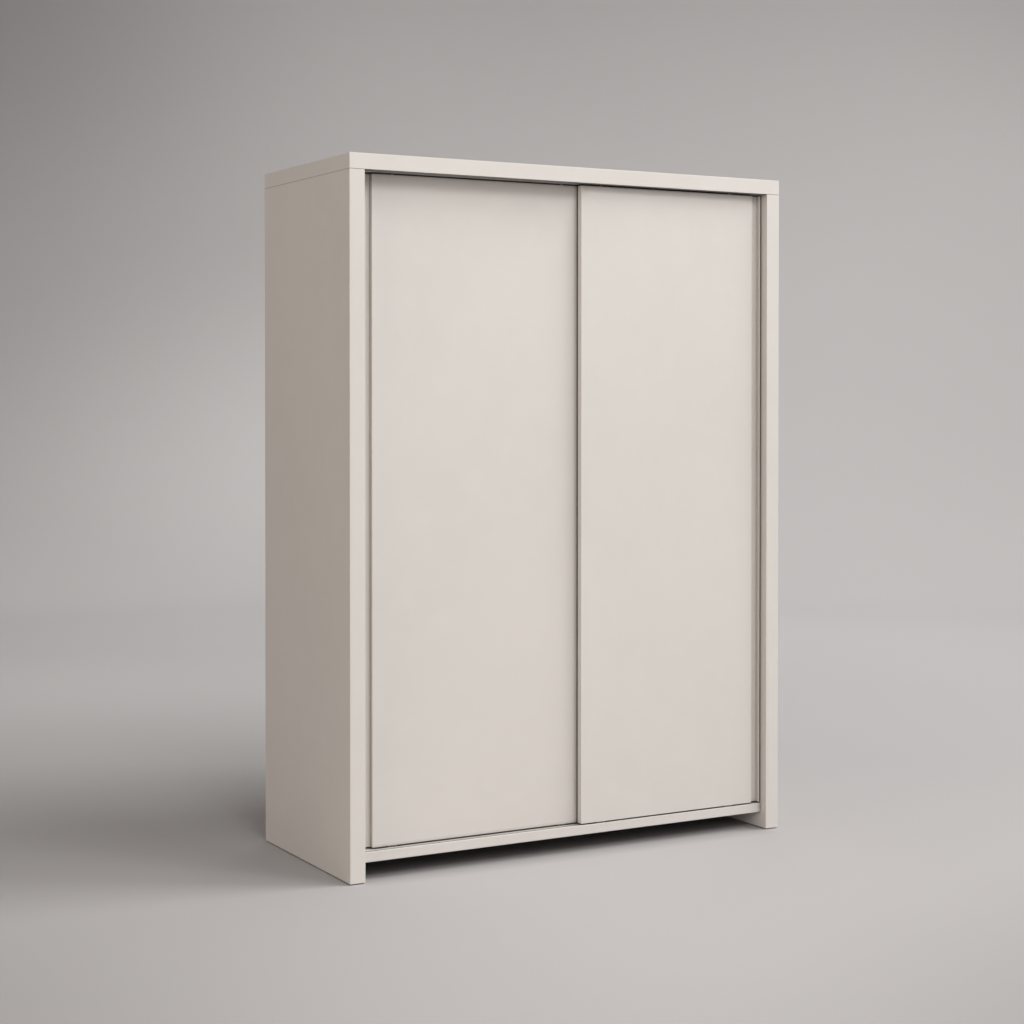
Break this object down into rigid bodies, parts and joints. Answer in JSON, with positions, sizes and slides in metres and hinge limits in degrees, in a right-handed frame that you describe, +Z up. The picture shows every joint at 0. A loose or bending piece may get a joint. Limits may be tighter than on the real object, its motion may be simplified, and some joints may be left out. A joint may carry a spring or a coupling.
{
  "type": "sliding door wardrobe",
  "caption": "Tall lacquered wardrobe with a thick shell, two overlapping sliding doors with full-height finger grooves, a hanging bay and a shelf bay.",
  "frame": {"origin": "on the floor, at the middle of the shell's footprint", "axes": "+X to the right as seen from the doors, +Y from the doors to the back, +Z up"},
  "size_m": [1.45, 0.61, 2],
  "materials": {
    "shell_lacquer": "matte",
    "inner_melamine": "matte",
    "back_board": "matte",
    "joint_plastic": "matte",
    "grip_lacquer": "satin",
    "track_aluminium": "satin",
    "rail_chrome": "polished",
    "bracket_zinc": "satin",
    "screw_steel": "satin",
    "cam_zinc": "matte",
    "dowel_beech": "matte",
    "buffer_rubber": "matte",
    "glide_plastic": "matte",
    "brush_pile": "matte",
    "housing_plastic": "matte",
    "roller_nylon": "satin",
    "spring_steel": "satin"
  },
  "bodies": {
    "carcass": {"side_panel_left": "shell_lacquer", "side_panel_right": "shell_lacquer", "top_panel": "shell_lacquer", "bottom_panel": "shell_lacquer", "centre_partition": "inner_melamine", "back_panel_left": "back_board", "back_panel_right": "back_board", "back_joint_profile": "joint_plastic", "hat_shelf_left": "inner_melamine", "hat_shelf_right": "inner_melamine", "shelf_1": "inner_melamine", "shelf_2": "inner_melamine", "shelf_3": "inner_melamine", "shelf_4": "inner_melamine", "shelf_pins": "screw_steel", "hanging_rail": "rail_chrome", "rail_bracket_left": "bracket_zinc", "rail_bracket_right": "bracket_zinc", "rail_bracket_screws": "screw_steel", "top_track": "track_aluminium", "bottom_track": "track_aluminium", "top_track_screws": "screw_steel", "bottom_track_screws": "screw_steel", "door_buffers": "buffer_rubber", "floor_glides": "glide_plastic", "wall_bracket_left": "bracket_zinc", "wall_bracket_right": "bracket_zinc", "wall_bracket_screws": "screw_steel", "cam_locks": "cam_zinc", "cam_bolts": "screw_steel", "cam_cover_caps": "joint_plastic", "wooden_dowels": "dowel_beech"},
    "left_door": {"left_door_panel": "shell_lacquer", "left_grip_profile": "grip_lacquer", "left_roller_housings": "housing_plastic", "left_roller_axles": "screw_steel", "left_guide_housings": "housing_plastic", "left_outer_spring": "spring_steel", "left_inner_spring": "spring_steel", "left_door_screws": "screw_steel"},
    "left_outer_roller": {"left_outer_roller": "roller_nylon"},
    "left_outer_pin": {"left_outer_pin": "roller_nylon"},
    "left_inner_roller": {"left_inner_roller": "roller_nylon"},
    "left_inner_pin": {"left_inner_pin": "roller_nylon"},
    "right_door": {"right_door_panel": "shell_lacquer", "right_grip_profile": "grip_lacquer", "right_roller_housings": "housing_plastic", "right_roller_axles": "screw_steel", "right_guide_housings": "housing_plastic", "right_outer_spring": "spring_steel", "right_inner_spring": "spring_steel", "right_door_screws": "screw_steel", "meeting_brush": "brush_pile"},
    "right_outer_roller": {"right_outer_roller": "roller_nylon"},
    "right_outer_pin": {"right_outer_pin": "roller_nylon"},
    "right_inner_roller": {"right_inner_roller": "roller_nylon"},
    "right_inner_pin": {"right_inner_pin": "roller_nylon"}
  },
  "joints": [
    {"name": "left_door_slide", "type": "slide", "parent": "carcass", "child": "left_door", "axis": [1, 0, 0], "range_m": [0, 0.615]},
    {"name": "left_outer_roller_spin", "type": "hinge", "parent": "left_door", "child": "left_outer_roller", "pos_m": [-0.565, -0.238, 0.0848], "axis": [0, 1, 0], "continuous": true},
    {"name": "left_outer_pin_press", "type": "slide", "parent": "left_door", "child": "left_outer_pin", "axis": [0, 0, 1], "range_m": [-0.013, 0], "stiffness_N_per_m": 250, "springref_m": 0.006, "deforming": ["left_outer_spring"]},
    {"name": "left_inner_roller_spin", "type": "hinge", "parent": "left_door", "child": "left_inner_roller", "pos_m": [-0.015, -0.238, 0.0848], "axis": [0, 1, 0], "continuous": true},
    {"name": "left_inner_pin_press", "type": "slide", "parent": "left_door", "child": "left_inner_pin", "axis": [0, 0, 1], "range_m": [-0.013, 0], "stiffness_N_per_m": 250, "springref_m": 0.006, "deforming": ["left_inner_spring"]},
    {"name": "right_door_slide", "type": "slide", "parent": "carcass", "child": "right_door", "axis": [1, 0, 0], "range_m": [-0.705, 0]},
    {"name": "right_outer_roller_spin", "type": "hinge", "parent": "right_door", "child": "right_outer_roller", "pos_m": [0.565, -0.265, 0.0848], "axis": [0, 1, 0], "continuous": true},
    {"name": "right_outer_pin_press", "type": "slide", "parent": "right_door", "child": "right_outer_pin", "axis": [0, 0, 1], "range_m": [-0.013, 0], "stiffness_N_per_m": 250, "springref_m": 0.006, "deforming": ["right_outer_spring"]},
    {"name": "right_inner_roller_spin", "type": "hinge", "parent": "right_door", "child": "right_inner_roller", "pos_m": [0.105, -0.265, 0.0848], "axis": [0, 1, 0], "continuous": true},
    {"name": "right_inner_pin_press", "type": "slide", "parent": "right_door", "child": "right_inner_pin", "axis": [0, 0, 1], "range_m": [-0.013, 0], "stiffness_N_per_m": 250, "springref_m": 0.006, "deforming": ["right_inner_spring"]}
  ],
  "couplings": [
    {"joint": "left_outer_roller_spin", "follows": "left_door_slide", "rad_per_m": 71.429},
    {"joint": "left_inner_roller_spin", "follows": "left_door_slide", "rad_per_m": 71.429},
    {"joint": "right_outer_roller_spin", "follows": "right_door_slide", "rad_per_m": 71.429},
    {"joint": "right_inner_roller_spin", "follows": "right_door_slide", "rad_per_m": 71.429}
  ]
}
